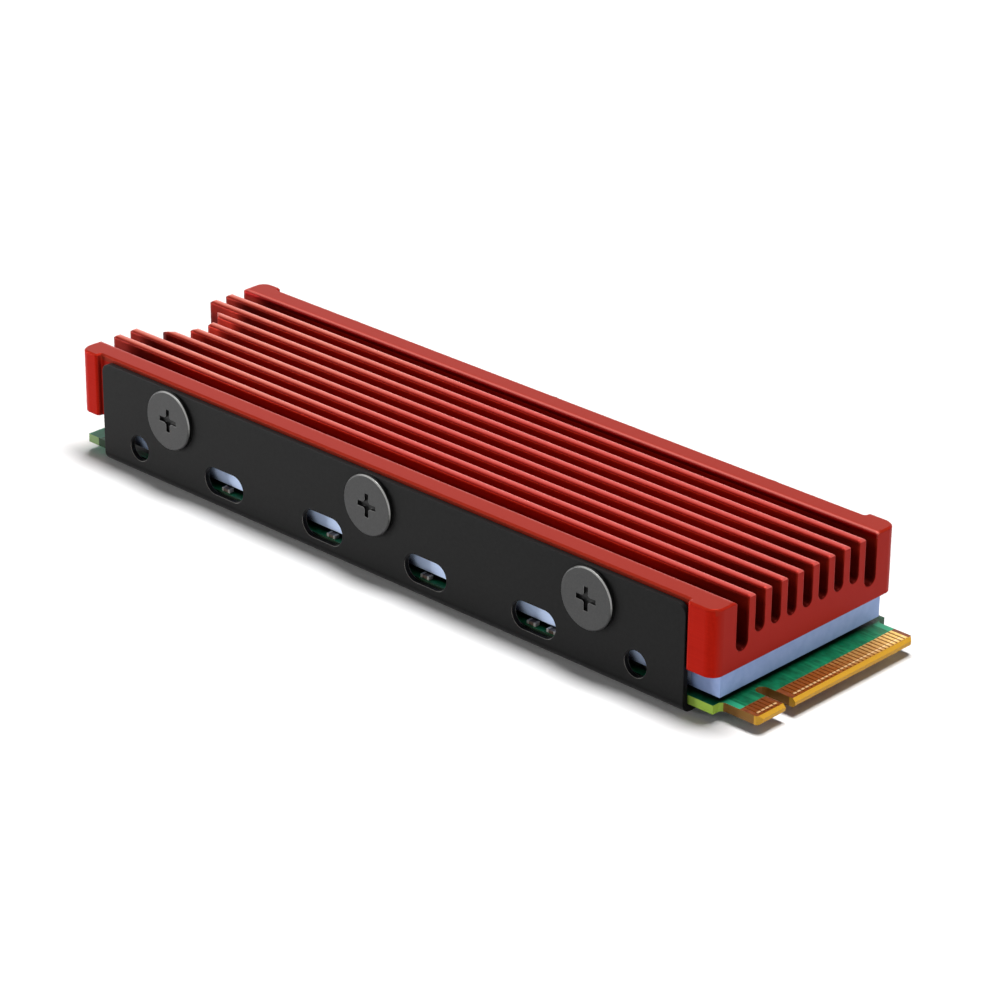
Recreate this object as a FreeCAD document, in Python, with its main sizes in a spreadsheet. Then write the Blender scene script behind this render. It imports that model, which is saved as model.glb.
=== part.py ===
import FreeCAD, Part
import math
import os
import Sketcher

# SSD heat sink: a finned aluminium extrusion clamped by a sheet-metal tray round an M.2 drive.
# Millimetres. +X points at the edge contacts, +Z up, -Y is the side the work order's photo shows.
# The origin is the middle of the whole object's length and width, on the tray's underside.

doc = FreeCAD.newDocument("ssd_heat_sink")
ORIGIN = (-1, 1)
TOUCH = 1e-6
OVERCUT = 1.0
PINS = 75
KEY_PINS = range(59, 67)


# Driving dimensions
sheet = doc.addObject("Spreadsheet::Sheet", "dims")
DIMENSIONS = [
    # circuit board, the card standard's sizes
    ("board_length", 80.0, "card standard"),
    ("board_width", 22.0, "card standard"),
    ("board_thick", 0.8, "card standard"),
    ("tongue_width", 19.85, "card standard"),
    ("tongue_length", 4.0, "tip to shoulder"),
    ("shoulder_round", 0.5, "inner corner of the shoulder"),
    ("key_width", 1.2, "key notch"),
    ("key_offset", 6.125, "key notch from the centre line"),
    ("key_depth", 3.5, "key notch from the tip"),
    ("tongue_corner", 0.4, "chamfer on the tongue's corners"),
    ("bevel_size", 0.25, "bevel along the tip"),
    ("mount_hole_radius", 1.75, "finished half-hole"),
    ("plating_thick", 0.05, "copper and gold"),
    ("mount_land_inner", 1.95, "plated land round the half-hole"),
    ("mount_land_outer", 2.9, "plated land round the half-hole"),
    ("board_overhang", 0.2, "heat sink past the board's back end"),
    # contacts
    ("contact_pitch", 0.5, "card standard"),
    ("contact_width", 0.35, "card standard"),
    ("contact_length", 1.75, "upper side"),
    ("contact_length_lower", 2.5, "lower side"),
    ("contact_setback", 0.3, "from the tip"),
    # tray
    ("tray_thick", 0.5, "sheet"),
    ("tray_height", 9.8, "to the flange's top edge"),
    ("tray_bend", 0.9, "outer bend radius"),
    ("tray_corner", 1.0, "flange's top corners"),
    ("tray_side_gap", 0.05, "flange to heat sink and board"),
    ("tray_front_gap", 0.1, "tray to the front ears"),
    ("tray_back_gap", 0.75, "tray to the back ears"),
    ("slot_length", 5.0, "obround slot"),
    ("slot_width", 2.6, "obround slot"),
    ("slot_pitch", 12.6, "between obround slots"),
    ("slot_count", 4, "obround slots in each flange"),
    ("slot_height", 2.7, "centre line above the underside"),
    ("vent_radius", 1.22, "round holes"),
    ("vent_reach", 60.4, "between the round holes"),
    ("vent_shift", 0.15, "slots and holes behind the heat sink's middle"),
    ("tray_notch_radius", 4.1, "relief round the retaining screw"),
    # stack
    ("lower_pad_thick", 0.3, "under the board"),
    ("pad_clear", 0.4, "board's top to the upper pad"),
    ("upper_pad_thick", 2.2, "pressed thickness"),
    ("pad_notch_gap", 0.1, "upper pad to the round notch"),
    ("pad_inset", 0.8, "pads' sides from the board's sides"),
    ("pad_setback", 0.4, "upper pad behind the heat sink's front end"),
    ("lower_pad_inset", 2.2, "lower pad's ends from the tray's ends"),
    ("pad_seat", 0.02, "play round each chip in the pad"),
    # heat sink
    ("tongue_clear", 3.6, "heat sink's front end from the board's tip"),
    ("sink_height", 6.05, "along Z"),
    ("back_ear", 2.35, "length of the back ears"),
    ("front_ear", 3.0, "length of the front ears"),
    ("ear_round", 1.1, "upright outer corners"),
    ("step_round", 0.3, "upright edge of the ear's step"),
    ("recess_round", 0.2, "inner corner of the recess"),
    ("sink_edge_break", 0.15, "bevel along the top outline"),
    ("fin_pitch", 2.0, "between fins"),
    ("fin_thick", 0.8, "fin"),
    ("fin_slots", 7, "slots between the fins"),
    ("fin_depth", 3.6, "depth of the inner slots"),
    ("fin_round", 0.2, "round along each fin's top edges"),
    ("side_slot_width", 1.5, "outermost slots"),
    ("side_slot_depth", 4.6, "outermost slots"),
    ("wall_round", 0.3, "round along each wall's inner top edge"),
    ("notch_radius", 4.1, "round notch in the back end"),
    # side screws
    ("screw_pitch", 25.4, "between side screws"),
    ("screw_height", 6.9, "axis above the underside"),
    ("screw_shift", 0.55, "middle screw behind the heat sink's middle"),
    ("screw_thread_radius", 1.0, "thread"),
    ("screw_length", 2.2, "under the head"),
    ("screw_head_radius", 2.8, "head"),
    ("screw_head_thick", 0.4, "head"),
    ("screw_head_chamfer", 0.1, "head's rim"),
    ("screw_play", 0.05, "thread to its hole"),
    ("screw_hole_depth", 1.85, "tapped hole in the wall"),
    ("cross_length", 2.2, "cross recess, end to end"),
    ("cross_width", 0.48, "cross recess"),
    ("cross_core", 0.16, "slant between the cross's arms"),
    ("cross_depth", 0.3, "cross recess"),
    # chips
    ("chip_carrier", 0.25, "carrier board of a chip"),
    ("chip_inset", 0.12, "moulding set in from the carrier"),
    ("controller_size", 13.0, "square"),
    ("controller_height", 0.85, "chip"),
    ("controller_share", 0.305, "place along the board, from its middle"),
    ("buffer_length", 8.0, "memory buffer along X"),
    ("buffer_width", 12.0, "memory buffer along Y"),
    ("buffer_height", 0.8, "memory buffer"),
    ("buffer_share", 0.1425, "place along the board"),
    ("flash_length", 14.0, "along X"),
    ("flash_edge", 2.0, "flash chips' sides from the board's sides"),
    ("flash_height", 0.85, "flash chip"),
    ("flash_front_share", -0.026, "place along the board"),
    ("flash_back_share", -0.245, "place along the board"),
    ("power_size", 3.0, "power chip, square"),
    ("power_height", 0.75, "power chip"),
    ("power_share", -0.389, "place along the board"),
    ("coil_length", 2.5, "inductor along X"),
    ("coil_width", 2.0, "inductor along Y"),
    ("coil_height", 0.8, "inductor"),
    ("coil_pitch", 3.0, "between inductors"),
    ("coil_count", 3, "inductors"),
    ("coil_edge", 2.4, "last inductor's middle from the board's side"),
    ("coil_gap", 0.1, "power chip to the first inductor"),
    ("crystal_length", 1.6, "along X"),
    ("crystal_width", 1.2, "along Y"),
    ("crystal_height", 0.35, "crystal"),
    ("crystal_share", 0.414, "place along the board"),
    ("crystal_edge", 3.0, "crystal's middle from the board's near side"),
    ("cap_length", 1.0, "capacitor, end to end"),
    ("cap_width", 0.5, "capacitor"),
    ("cap_height", 0.3, "capacitor"),
    ("cap_terminal", 0.22, "capacitor's end cap"),
    ("cap_skin", 0.02, "end cap stands out by this"),
    ("cap_edge", 0.45, "row's centre line from the board's side"),
    ("resistor_length", 0.6, "resistor"),
    ("resistor_width", 0.3, "resistor"),
    ("resistor_height", 0.25, "resistor"),
    ("resistor_pitch", 1.2, "between resistors"),
    ("resistor_count", 5, "on each side"),
]
for row, (alias, value, note) in enumerate(DIMENSIONS, start=1):
    sheet.set(f"A{row}", alias)
    sheet.set(f"B{row}", str(value))
    sheet.setAlias(f"B{row}", alias)
    sheet.set(f"C{row}", note)

# Places that follow from the driving dimensions
DERIVED = [
    ("total_length", "board_length + board_overhang"),
    ("front_tip", "total_length / 2"),
    ("board_back", "front_tip - board_length"),
    ("board_middle", "(front_tip + board_back) / 2"),
    ("sink_back", "-total_length / 2"),
    ("sink_front", "front_tip - tongue_clear"),
    ("sink_length", "sink_front - sink_back"),
    ("sink_middle", "(sink_back + sink_front) / 2"),
    ("screw_middle", "sink_middle - screw_shift"),
    ("vent_middle", "sink_middle - vent_shift"),
    ("recess_back", "sink_back + back_ear"),
    ("recess_front", "sink_front - front_ear"),
    ("tray_front", "recess_front - tray_front_gap"),
    ("tray_back", "recess_back + tray_back_gap"),
    ("tray_length", "tray_front - tray_back"),
    ("flange_inner", "board_width / 2 + tray_side_gap"),
    ("flange_outer", "flange_inner + tray_thick"),
    ("ear_half_width", "flange_outer"),
    ("recess_half_width", "flange_inner - tray_side_gap"),
    ("board_bottom", "tray_thick + lower_pad_thick"),
    ("board_top", "board_bottom + board_thick"),
    ("upper_pad_bottom", "board_top + pad_clear"),
    ("sink_bottom", "upper_pad_bottom + upper_pad_thick"),
    ("sink_top", "sink_bottom + sink_height"),
    ("pad_front", "sink_front - pad_setback"),
    ("pad_back", "sink_back + notch_radius + pad_notch_gap"),
    ("pad_width", "board_width - 2 * pad_inset"),
    ("fin_gap", "fin_pitch - fin_thick"),
    ("first_slot", "-fin_pitch * (fin_slots - 1) / 2"),
    ("fins_half_width", "fin_pitch * (fin_slots - 1) / 2 + fin_gap / 2 + fin_thick"),
    ("wall_inner", "fins_half_width + side_slot_width"),
    ("screw_hole_radius", "screw_thread_radius + screw_play"),
    ("lower_pad_length", "tray_length - 2 * lower_pad_inset"),
    ("lower_pad_back", "tray_back + lower_pad_inset"),
    ("controller_place", "board_middle + controller_share * board_length"),
    ("buffer_place", "board_middle + buffer_share * board_length"),
    ("flash_front_place", "board_middle + flash_front_share * board_length"),
    ("flash_back_place", "board_middle + flash_back_share * board_length"),
    ("power_place", "board_middle + power_share * board_length"),
    ("crystal_place", "board_middle + crystal_share * board_length"),
    ("crystal_offset", "crystal_edge - board_width / 2"),
    ("flash_width", "board_width - 2 * flash_edge"),
    ("coil_offset", "board_width / 2 - coil_edge - (coil_count - 1) * coil_pitch"),
    ("power_offset", "coil_offset - coil_width / 2 - coil_gap - power_size / 2"),
]
for row, (alias, formula) in enumerate(DERIVED, start=len(DIMENSIONS) + 2):
    sheet.set(f"A{row}", alias)
    sheet.set(f"B{row}", "=" + formula)
    sheet.setAlias(f"B{row}", alias)
doc.recompute()


def size(name):
    """A dimension's present value."""
    return float(getattr(sheet, name))


def tied(formula):
    """The formula with each sheet name written as a reference to its cell."""
    known = sorted((a for a, *_ in DIMENSIONS + DERIVED), key=len, reverse=True)
    out = ""
    place = 0
    while place < len(formula):
        word = next((k for k in known if formula.startswith(k, place)), None)
        starts_word = place == 0 or not (formula[place - 1].isalnum() or formula[place - 1] == "_")
        ends_word = word is not None and not formula[place + len(word):place + len(word) + 1].isidentifier()
        if word and starts_word and ends_word:
            out += "dims." + word
            place += len(word)
        else:
            out += formula[place]
            place += 1
    return out


def amount(formula):
    """The formula's value in millimetres."""
    return float(sheet.evalExpression(tied(formula)))


# Sketch and feature helpers
def new_body(name):
    body = doc.addObject("PartDesign::Body", name)
    body.Label = name
    return body


def sketch_on(body, name, plane, level="0"):
    """A sketch parallel to one of the body's own planes, moved along the plane's normal."""
    support = next(f for f in body.Origin.OriginFeatures if f.Role == plane)
    sketch = body.newObject("Sketcher::SketchObject", name)
    sketch.AttachmentSupport = [(support, "")]
    sketch.MapMode = "FlatFace"
    sketch.setExpression("AttachmentOffset.Base.z", tied(level))
    return sketch


def pin_point(sketch, geometry, end, across, up):
    """Fixes a sketch point by its two distances from the sketch's origin."""
    for kind, formula in (("DistanceX", across), ("DistanceY", up)):
        value = amount(formula)
        number = sketch.addConstraint(Sketcher.Constraint(kind, *ORIGIN, geometry, end, value))
        sketch.setExpression(f"Constraints[{number}]", tied(formula))


def draw_outline(sketch, points):
    """Closed outline. Each point is (across, up) and starts a line, or (across, up, centre_across,
    centre_up, turn) and starts an arc about that centre, turn being 'left' or 'right'."""
    base = sketch.GeometryCount
    places = [(amount(p[0]), amount(p[1])) for p in points]
    for i, point in enumerate(points):
        start = FreeCAD.Vector(*places[i], 0)
        finish = FreeCAD.Vector(*places[(i + 1) % len(points)], 0)
        if len(point) == 2:
            sketch.addGeometry(Part.LineSegment(start, finish), False)
            continue
        centre = FreeCAD.Vector(amount(point[2]), amount(point[3]), 0)
        if point[4] == "right":
            start, finish = finish, start
        begin = math.atan2(start.y - centre.y, start.x - centre.x)
        end = math.atan2(finish.y - centre.y, finish.x - centre.x)
        circle = Part.Circle(centre, FreeCAD.Vector(0, 0, 1), (start - centre).Length)
        if end <= begin:
            end += 2 * math.pi
        sketch.addGeometry(Part.ArcOfCircle(circle, begin, end), False)
    for i, point in enumerate(points):
        after = (i + 1) % len(points)
        leaves = 1 if len(point) == 5 and point[4] == "right" else 2
        enters = 2 if len(points[after]) == 5 and points[after][4] == "right" else 1
        sketch.addConstraint(Sketcher.Constraint("Coincident", base + i, leaves, base + after, enters))
    for i, point in enumerate(points):
        first = 2 if len(point) == 5 and point[4] == "right" else 1
        pin_point(sketch, base + i, first, point[0], point[1])
        if len(point) == 5:
            chord = (places[(i + 1) % len(points)][0] - places[i][0],
                     places[(i + 1) % len(points)][1] - places[i][1])
            level = abs(chord[0]) > abs(chord[1])
            kind, formula = ("DistanceY", point[3]) if level else ("DistanceX", point[2])
            held = Sketcher.Constraint(kind, *ORIGIN, base + i, 3, amount(formula))
            number = sketch.addConstraint(held)
            sketch.setExpression(f"Constraints[{number}]", tied(formula))


def draw_box(sketch, left, low, right, high):
    draw_outline(sketch, [(left, low), (right, low), (right, high), (left, high)])


def draw_circle(sketch, across, up, radius):
    circle = Part.Circle(FreeCAD.Vector(amount(across), amount(up), 0),
                         FreeCAD.Vector(0, 0, 1), amount(radius))
    geometry = sketch.addGeometry(circle, False)
    pin_point(sketch, geometry, 3, across, up)
    number = sketch.addConstraint(Sketcher.Constraint("Radius", geometry, amount(radius)))
    sketch.setExpression(f"Constraints[{number}]", tied(radius))


def pad(body, sketch, name, length, symmetric=False, backwards=False):
    feature = body.newObject("PartDesign::Pad", name)
    feature.Profile = sketch
    feature.SideType = "Symmetric" if symmetric else "One side"
    feature.Reversed = backwards
    feature.setExpression("Length", tied(length))
    doc.recompute()
    return feature


def pocket(body, sketch, name, depth, symmetric=False, backwards=False):
    feature = body.newObject("PartDesign::Pocket", name)
    feature.Profile = sketch
    feature.SideType = "Symmetric" if symmetric else "One side"
    feature.Reversed = backwards
    feature.setExpression("Length", tied(depth))
    doc.recompute()
    return feature


def repeat(body, feature, sketch, axis, name, extent, count):
    """Copies of a cut, spread evenly over the extent along the sketch's own axis."""
    pattern = body.newObject("PartDesign::LinearPattern", name)
    pattern.Originals = [feature]
    pattern.Direction = (sketch, [axis])
    pattern.Mode = "Extent"
    pattern.setExpression("Length", tied(extent))
    pattern.setExpression("Occurrences", tied(count))
    body.Tip = pattern
    doc.recompute()
    return pattern


def mirror(body, feature, plane, name):
    """The same cut on the far side of one of the body's planes."""
    copy = body.newObject("PartDesign::Mirrored", name)
    copy.Originals = [feature]
    support = next(f for f in body.Origin.OriginFeatures if f.Role == plane)
    copy.MirrorPlane = (support, [""])
    body.Tip = copy
    doc.recompute()
    return copy


def edges_where(feature, wanted):
    """Names of the feature's edges that pass the test."""
    return [f"Edge{i}" for i, edge in enumerate(feature.Shape.Edges, start=1) if wanted(edge)]


def dress(body, kind, feature, edges, name, amount_name, formula):
    """A fillet or chamfer on the named edges."""
    trim = body.newObject("PartDesign::" + kind, name)
    trim.Base = (feature, edges)
    trim.setExpression(amount_name, tied(formula))
    body.Tip = trim
    doc.recompute()
    return trim


# Finned heat sink: extruded profile, side recesses and end notch milled afterwards
sink = new_body("finned_heat_sink")
plan = sketch_on(sink, "sink_plan", "XY_Plane", "sink_bottom")
E = "ear_half_width"
R = "recess_half_width"
draw_outline(plan, [
    ("sink_back", "notch_radius"),
    ("sink_back", f"{E} - ear_round", "sink_back + ear_round", f"{E} - ear_round", "right"),
    ("sink_back + ear_round", E),
    ("recess_back - step_round", E, "recess_back - step_round", f"{E} - step_round", "right"),
    ("recess_back", f"{E} - step_round"),
    ("recess_back", f"{R} + recess_round", "recess_back + recess_round", f"{R} + recess_round", "left"),
    ("recess_back + recess_round", R),
    ("recess_front - recess_round", R, "recess_front - recess_round", f"{R} + recess_round", "left"),
    ("recess_front", f"{R} + recess_round"),
    ("recess_front", f"{E} - step_round", "recess_front + step_round", f"{E} - step_round", "right"),
    ("recess_front + step_round", E),
    ("sink_front - ear_round", E, "sink_front - ear_round", f"{E} - ear_round", "right"),
    ("sink_front", f"{E} - ear_round"),
    ("sink_front", f"ear_round - {E}", "sink_front - ear_round", f"ear_round - {E}", "right"),
    ("sink_front - ear_round", f"-{E}"),
    ("recess_front + step_round", f"-{E}", "recess_front + step_round", f"step_round - {E}", "right"),
    ("recess_front", f"step_round - {E}"),
    ("recess_front", f"-{R} - recess_round", "recess_front - recess_round", f"-{R} - recess_round", "left"),
    ("recess_front - recess_round", f"-{R}"),
    ("recess_back + recess_round", f"-{R}", "recess_back + recess_round", f"-{R} - recess_round", "left"),
    ("recess_back", f"-{R} - recess_round"),
    ("recess_back", f"step_round - {E}", "recess_back - step_round", f"step_round - {E}", "right"),
    ("recess_back - step_round", f"-{E}"),
    ("sink_back + ear_round", f"-{E}", "sink_back + ear_round", f"ear_round - {E}", "right"),
    ("sink_back", f"ear_round - {E}"),
    ("sink_back", "-notch_radius", "sink_back", "0", "left"),
])
block = pad(sink, plan, "sink_block", "sink_height")
top = size("sink_top")
outline_edges = edges_where(block, lambda e: all(abs(v.Z - top) < TOUCH for v in e.Vertexes))
dress(sink, "Chamfer", block, outline_edges, "sink_edge", "Size", "sink_edge_break")

# Slots between the fins: straight sides, a full round at the bottom, rounded mouths
slot = sketch_on(sink, "fin_slot", "YZ_Plane", f"sink_back - {OVERCUT}")
G = "fin_gap / 2"
draw_outline(slot, [
    (f"first_slot - {G} - fin_round", "sink_top"),
    (f"first_slot - {G} - fin_round", f"sink_top + {OVERCUT}"),
    (f"first_slot + {G} + fin_round", f"sink_top + {OVERCUT}"),
    (f"first_slot + {G} + fin_round", "sink_top",
     f"first_slot + {G} + fin_round", "sink_top - fin_round", "left"),
    (f"first_slot + {G}", "sink_top - fin_round"),
    (f"first_slot + {G}", f"sink_top - fin_depth + {G}",
     "first_slot", f"sink_top - fin_depth + {G}", "right"),
    (f"first_slot - {G}", f"sink_top - fin_depth + {G}"),
    (f"first_slot - {G}", "sink_top - fin_round",
     f"first_slot - {G} - fin_round", "sink_top - fin_round", "left"),
])
first = pocket(sink, slot, "fin_slot_cut", f"sink_length + 2 * {OVERCUT}", backwards=True)
repeat(sink, first, slot, "H_Axis", "fin_slots_cut", "fin_pitch * (fin_slots - 1)", "fin_slots")

# Outermost slots: wider and deeper, with a larger round on the wall's side
side_slot = sketch_on(sink, "side_slot", "YZ_Plane", f"sink_back - {OVERCUT}")
W = "side_slot_width / 2"
M = "(fins_half_width + wall_inner) / 2"
draw_outline(side_slot, [
    ("fins_half_width - fin_round", "sink_top"),
    ("fins_half_width - fin_round", f"sink_top + {OVERCUT}"),
    ("wall_inner + wall_round", f"sink_top + {OVERCUT}"),
    ("wall_inner + wall_round", "sink_top",
     "wall_inner + wall_round", "sink_top - wall_round", "left"),
    ("wall_inner", "sink_top - wall_round"),
    ("wall_inner", f"sink_top - side_slot_depth + {W}", M, f"sink_top - side_slot_depth + {W}", "right"),
    ("fins_half_width", f"sink_top - side_slot_depth + {W}"),
    ("fins_half_width", "sink_top - fin_round",
     "fins_half_width - fin_round", "sink_top - fin_round", "left"),
])
side_cut = pocket(sink, side_slot, "side_slot_cut", f"sink_length + 2 * {OVERCUT}", backwards=True)
mirror(sink, side_cut, "XZ_Plane", "side_slots_cut")

# Tapped holes for the side screws, opening into the recesses
tapped = sketch_on(sink, "tapped_holes", "XZ_Plane", R)
for step in ("-1", "0", "1"):
    draw_circle(tapped, f"screw_middle + {step} * screw_pitch", "screw_height", "screw_thread_radius")
tapped_cut = pocket(sink, tapped, "tapped_cut", "screw_hole_depth")
mirror(sink, tapped_cut, "XZ_Plane", "tapped_both_cut")


# Mounting tray: one folded channel of sheet
tray = new_body("mounting_tray")
section = sketch_on(tray, "tray_section", "YZ_Plane", "tray_back")
B = "tray_bend"
T = "tray_thick"
F = "flange_outer"
N = "flange_inner"
draw_outline(section, [
    (f"{B} - {F}", "0"),
    (f"{F} - {B}", "0", f"{F} - {B}", B, "left"),
    (F, B),
    (F, "tray_height"),
    (N, "tray_height"),
    (N, B, f"{F} - {B}", B, "right"),
    (f"{F} - {B}", T),
    (f"{B} - {F}", T, f"{B} - {F}", B, "right"),
    (f"-{N}", B),
    (f"-{N}", "tray_height"),
    (f"-{F}", "tray_height"),
    (f"-{F}", B, f"{B} - {F}", B, "left"),
])
channel = pad(tray, section, "tray_channel", "tray_length")
rim = size("tray_height")
rim_corners = edges_where(channel, lambda e: abs(e.Length - size("tray_thick")) < TOUCH
                          and all(abs(v.Z - rim) < TOUCH for v in e.Vertexes))
channel = dress(tray, "Fillet", channel, rim_corners, "tray_corners", "Radius", "tray_corner")

slots = sketch_on(tray, "vent_slot", "XZ_Plane")
L = "slot_length / 2"
H = "slot_width / 2"
S = "vent_middle - (slot_count - 1) / 2 * slot_pitch"
draw_outline(slots, [
    (f"{S} - {L} + {H}", f"slot_height - {H}"),
    (f"{S} + {L} - {H}", f"slot_height - {H}", f"{S} + {L} - {H}", "slot_height", "left"),
    (f"{S} + {L} - {H}", f"slot_height + {H}"),
    (f"{S} - {L} + {H}", f"slot_height + {H}", f"{S} - {L} + {H}", "slot_height", "left"),
])
slot_cut = pocket(tray, slots, "vent_slot_cut", "4 * flange_outer", symmetric=True)
repeat(tray, slot_cut, slots, "H_Axis", "vent_slots_cut", "(slot_count - 1) * slot_pitch", "slot_count")

vents = sketch_on(tray, "vent_holes", "XZ_Plane")
for side in ("-", "+"):
    draw_circle(vents, f"vent_middle {side} vent_reach / 2", "slot_height", "vent_radius")
pocket(tray, vents, "vent_holes_cut", "4 * flange_outer", symmetric=True)

clearance = sketch_on(tray, "screw_clearance", "XZ_Plane")
for step in ("-1", "0", "1"):
    draw_circle(clearance, f"screw_middle + {step} * screw_pitch", "screw_height", "screw_hole_radius")
pocket(tray, clearance, "screw_clearance_cut", "4 * flange_outer", symmetric=True)

relief = sketch_on(tray, "standoff_relief", "XY_Plane")
draw_circle(relief, "board_back", "0", "tray_notch_radius")
pocket(tray, relief, "standoff_relief_cut", "2 * tray_thick", backwards=True)


# Side screws: wide thin heads with a cross recess, in the flanges and the heat sink's walls
def side_screw(name, step, outwards):
    """One screw along Z, head up, then turned so that its head faces outwards along Y."""
    body = new_body(name)
    profile = sketch_on(body, name + "_profile", "XZ_Plane")
    draw_outline(profile, [
        ("0", "-screw_length"),
        ("screw_thread_radius", "-screw_length"),
        ("screw_thread_radius", "0"),
        ("screw_head_radius", "0"),
        ("screw_head_radius", "screw_head_thick - screw_head_chamfer"),
        ("screw_head_radius - screw_head_chamfer", "screw_head_thick"),
        ("0", "screw_head_thick"),
    ])
    turned = body.newObject("PartDesign::Revolution", name + "_turned")
    turned.Profile = profile
    turned.ReferenceAxis = (profile, ["V_Axis"])
    turned.Angle = 360
    doc.recompute()
    cross = sketch_on(body, name + "_cross", "XY_Plane", "screw_head_thick")
    a = "cross_length / 2"
    c = "cross_width / 2"
    k = "(cross_width / 2 + cross_core)"
    draw_outline(cross, [
        (f"-{a}", f"-{c}"), (f"-{k}", f"-{c}"), (f"-{c}", f"-{k}"), (f"-{c}", f"-{a}"),
        (c, f"-{a}"), (c, f"-{k}"), (k, f"-{c}"), (a, f"-{c}"),
        (a, c), (k, c), (c, k), (c, a),
        (f"-{c}", a), (f"-{c}", k), (f"-{k}", c), (f"-{a}", c),
    ])
    pocket(body, cross, name + "_recess", "cross_depth")
    body.Placement = FreeCAD.Placement(FreeCAD.Vector(), FreeCAD.Rotation(FreeCAD.Vector(1, 0, 0),
                                                                          -90 * outwards))
    body.setExpression("Placement.Base.x", tied(f"screw_middle + {step} * screw_pitch"))
    body.setExpression("Placement.Base.y", tied(f"{outwards} * flange_outer"))
    body.setExpression("Placement.Base.z", tied("screw_height"))
    return body


SCREWS = [side_screw(f"side_screw_{side}_{place}", step, outwards)
          for side, outwards in (("near", -1), ("far", 1))
          for place, step in (("back", -1), ("middle", 0), ("front", 1))]


# Chips: a carrier board with a moulding on top
def chip(name, along, across, height, place, offset):
    body = new_body(name)
    carrier = sketch_on(body, name + "_carrier", "XY_Plane", "board_top")
    draw_box(carrier, f"{place} - {along} / 2", f"{offset} - {across} / 2",
             f"{place} + {along} / 2", f"{offset} + {across} / 2")
    pad(body, carrier, name + "_base", "chip_carrier")
    moulding = sketch_on(body, name + "_moulding", "XY_Plane", "board_top + chip_carrier")
    draw_box(moulding, f"{place} - {along} / 2 + chip_inset", f"{offset} - {across} / 2 + chip_inset",
             f"{place} + {along} / 2 - chip_inset", f"{offset} + {across} / 2 - chip_inset")
    pad(body, moulding, name + "_top", f"{height} - chip_carrier")
    return body


CHIPS = {
    "controller_chip": ("controller_size", "controller_size", "controller_height",
                        "controller_place", "0"),
    "buffer_memory_chip": ("buffer_length", "buffer_width", "buffer_height", "buffer_place", "0"),
    "front_flash_chip": ("flash_length", "flash_width", "flash_height", "flash_front_place", "0"),
    "back_flash_chip": ("flash_length", "flash_width", "flash_height", "flash_back_place", "0"),
    "power_chip": ("power_size", "power_size", "power_height", "power_place", "power_offset"),
}
for chip_name, chip_sizes in CHIPS.items():
    chip(chip_name, *chip_sizes)


# Upper thermal pad: soft sheet, pressed down over the chips
upper_pad = new_body("upper_thermal_pad")
pad_plan = sketch_on(upper_pad, "upper_pad_plan", "XY_Plane", "upper_pad_bottom")
draw_box(pad_plan, "pad_back", "-pad_width / 2", "pad_front", "pad_width / 2")
pad(upper_pad, pad_plan, "upper_pad_sheet", "upper_pad_thick")
for chip_name, (along, across, height, place, offset) in CHIPS.items():
    dent = sketch_on(upper_pad, chip_name + "_dent_plan", "XY_Plane", "upper_pad_bottom")
    draw_box(dent, f"{place} - {along} / 2 - pad_seat", f"{offset} - {across} / 2 - pad_seat",
             f"{place} + {along} / 2 + pad_seat", f"{offset} + {across} / 2 + pad_seat")
    pocket(upper_pad, dent, chip_name + "_dent", f"{height} - pad_clear", backwards=True)
coil_dent = sketch_on(upper_pad, "coil_dent_plan", "XY_Plane", "upper_pad_bottom")
for index in range(int(size("coil_count"))):
    middle = f"(coil_offset + {index} * coil_pitch)"
    draw_box(coil_dent, "power_place - coil_length / 2 - pad_seat",
             f"{middle} - coil_width / 2 - pad_seat",
             "power_place + coil_length / 2 + pad_seat", f"{middle} + coil_width / 2 + pad_seat")
pocket(upper_pad, coil_dent, "coil_dent", "coil_height - pad_clear", backwards=True)


# Lower thermal pad: thin sheet between board and tray
lower_pad = doc.addObject("Part::Box", "lower_thermal_pad")
lower_pad.Label = "lower_thermal_pad"
lower_pad.setExpression("Length", tied("lower_pad_length"))
lower_pad.setExpression("Width", tied("pad_width"))
lower_pad.setExpression("Height", tied("lower_pad_thick"))
lower_pad.setExpression("Placement.Base.x", tied("lower_pad_back"))
lower_pad.setExpression("Placement.Base.y", tied("-pad_width / 2"))
lower_pad.setExpression("Placement.Base.z", tied("tray_thick"))


# Circuit board: card outline with its tongue, key notch, mounting half-hole and bevelled tip
board = new_body("circuit_board")
card = sketch_on(board, "board_plan", "XY_Plane", "board_bottom")
HW = "board_width / 2"
TW = "tongue_width / 2"
SH = "front_tip - tongue_length"
KL = "-key_offset - key_width / 2"
KR = "-key_offset + key_width / 2"
KD = "front_tip - key_depth + key_width / 2"
draw_outline(card, [
    ("board_back", "-mount_hole_radius", "board_back", "0", "left"),
    ("board_back", "mount_hole_radius"),
    ("board_back", HW),
    (SH, HW),
    (SH, f"{TW} + shoulder_round", f"{SH} + shoulder_round", f"{TW} + shoulder_round", "left"),
    (f"{SH} + shoulder_round", TW),
    ("front_tip - tongue_corner", TW),
    ("front_tip", f"{TW} - tongue_corner"),
    ("front_tip", KR),
    (KD, KR, KD, "-key_offset", "left"),
    (KD, KL),
    ("front_tip", KL),
    ("front_tip", f"tongue_corner - {TW}"),
    ("front_tip - tongue_corner", f"-{TW}"),
    (f"{SH} + shoulder_round", f"-{TW}",
     f"{SH} + shoulder_round", f"-{TW} - shoulder_round", "left"),
    (SH, f"-{TW} - shoulder_round"),
    (SH, f"-{HW}"),
    ("board_back", f"-{HW}"),
])
laminate = pad(board, card, "board_laminate", "board_thick")
tip = size("front_tip")
tip_edges = edges_where(laminate, lambda e: all(abs(v.X - tip) < TOUCH for v in e.Vertexes)
                        and abs(e.Vertexes[0].Z - e.Vertexes[-1].Z) < TOUCH)
dress(board, "Chamfer", laminate, tip_edges, "board_bevel", "Size", "bevel_size")


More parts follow.
